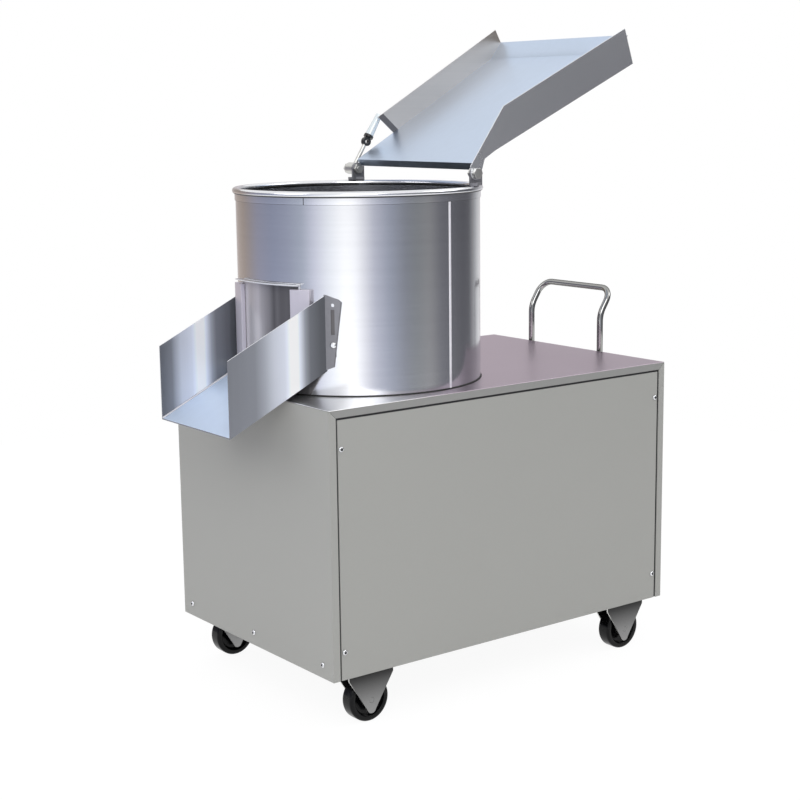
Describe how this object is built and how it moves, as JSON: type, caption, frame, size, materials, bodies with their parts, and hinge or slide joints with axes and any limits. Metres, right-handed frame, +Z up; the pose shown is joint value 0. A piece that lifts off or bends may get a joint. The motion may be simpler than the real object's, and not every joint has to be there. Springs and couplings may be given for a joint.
{
  "type": "vegetable washing machine",
  "caption": "Wheeled vegetable washer and peeler: a round stainless tub with a turning disc, a tilting feed tray, a lift gate and a sloping discharge chute on a belt-drive cabinet.",
  "frame": {"origin": "middle of the object's bounding box at floor level, where the wheels stand", "axes": "+X along the cart towards the push handle, +Y across to the side away from the viewer, +Z up"},
  "size_m": [0.7534, 0.4032, 0.9511],
  "materials": {
    "panel": "satin paint",
    "stainless": "satin polished",
    "tub_steel": "bright polished",
    "bright": "polished",
    "fork_grey": "satin",
    "wheel_black": "satin moulded",
    "frame_iron": "primer",
    "cast_grey": "as cast",
    "abrasive": "coarse grit",
    "disc_alloy": "grit coated",
    "machined": "turned",
    "black_rubber": "matte",
    "motor_paint": "gloss paint",
    "black_plastic": "moulded",
    "green_plastic": "moulded",
    "red_plastic": "moulded",
    "zinc": "zinc plated"
  },
  "bodies": {
    "machine": {"base_frame": "frame_iron", "top_deck": "stainless", "near_side_panel": "panel", "far_side_panel": "panel", "front_end_panel": "panel", "rear_end_panel": "panel", "panel_screws": "bright", "caster_fork_front_near": "fork_grey", "caster_fork_front_far": "fork_grey", "caster_fork_rear_near": "fork_grey", "caster_fork_rear_far": "fork_grey", "axle_pins": "zinc", "caster_bolts": "zinc", "tub_shell": "tub_steel", "rolled_rim": "tub_steel", "tub_floor": "stainless", "abrasive_liner": "abrasive", "bearing_housing": "cast_grey", "upper_bearing": "machined", "lower_bearing": "machined", "shaft_seal": "black_rubber", "drive_plate": "frame_iron", "drive_bolts": "zinc", "v_belt": "black_rubber", "motor_body": "motor_paint", "motor_drive_shield": "motor_paint", "motor_fan_shield": "motor_paint", "motor_fan_cover": "motor_paint", "motor_bracket": "frame_iron", "motor_bolts": "zinc", "terminal_box": "motor_paint", "discharge_chute": "tub_steel", "chute_bolts": "bright", "gate_guide_near": "stainless", "gate_guide_far": "stainless", "hinge_bracket_near": "stainless", "hinge_bracket_far": "stainless", "hinge_bolts": "bright", "push_handle": "bright", "handle_bolts": "zinc", "drain_pipe": "stainless", "water_inlet": "stainless", "switch_box": "black_plastic", "cable_gland": "black_plastic"},
    "wheel_front_near": {"wheel_front_near": "wheel_black"},
    "wheel_front_far": {"wheel_front_far": "wheel_black"},
    "wheel_rear_near": {"wheel_rear_near": "wheel_black"},
    "wheel_rear_far": {"wheel_rear_far": "wheel_black"},
    "turntable": {"peeling_disc": "disc_alloy", "disc_nut": "bright", "drive_shaft": "machined", "driven_pulley": "cast_grey"},
    "rotor": {"motor_rotor": "machined", "motor_fan": "black_plastic", "motor_pulley": "cast_grey"},
    "gate": {"discharge_gate": "stainless"},
    "tray": {"feed_tray": "stainless", "feed_stay": "bright"},
    "start": {"start_button": "green_plastic"},
    "stop": {"stop_button": "red_plastic"}
  },
  "joints": [
    {"name": "wheel_front_near_spin", "type": "hinge", "parent": "machine", "child": "wheel_front_near", "pos_m": [-0.21266, -0.176, 0.032], "axis": [0, 1, 0], "continuous": true},
    {"name": "wheel_front_far_spin", "type": "hinge", "parent": "machine", "child": "wheel_front_far", "pos_m": [-0.21266, 0.176, 0.032], "axis": [0, 1, 0], "continuous": true},
    {"name": "wheel_rear_near_spin", "type": "hinge", "parent": "machine", "child": "wheel_rear_near", "pos_m": [0.27134, -0.176, 0.032], "axis": [0, 1, 0], "continuous": true},
    {"name": "wheel_rear_far_spin", "type": "hinge", "parent": "machine", "child": "wheel_rear_far", "pos_m": [0.27134, 0.176, 0.032], "axis": [0, 1, 0], "continuous": true},
    {"name": "turntable_spin", "type": "hinge", "parent": "machine", "child": "turntable", "pos_m": [-0.08566, 0, 0.444], "axis": [0, 0, 1], "continuous": true},
    {"name": "rotor_spin", "type": "hinge", "parent": "machine", "child": "rotor", "pos_m": [0.22434, 0, 0.294], "axis": [0, 0, 1], "continuous": true},
    {"name": "gate_lift", "type": "slide", "parent": "machine", "child": "gate", "axis": [0, 0, 1], "range_m": [0, 0.1]},
    {"name": "tray_tilt", "type": "hinge", "parent": "machine", "child": "tray", "pos_m": [0.01434, 0, 0.738], "axis": [0, -1, 0], "range_deg": [0, 50]},
    {"name": "start_press", "type": "slide", "parent": "machine", "child": "start", "axis": [-1, 0, 0], "range_m": [0, 0.004], "stiffness_N_per_m": 500},
    {"name": "stop_press", "type": "slide", "parent": "machine", "child": "stop", "axis": [-1, 0, 0], "range_m": [0, 0.004], "stiffness_N_per_m": 500}
  ],
  "couplings": [
    {"joint": "rotor_spin", "follows": "turntable_spin", "ratio": 3}
  ]
}
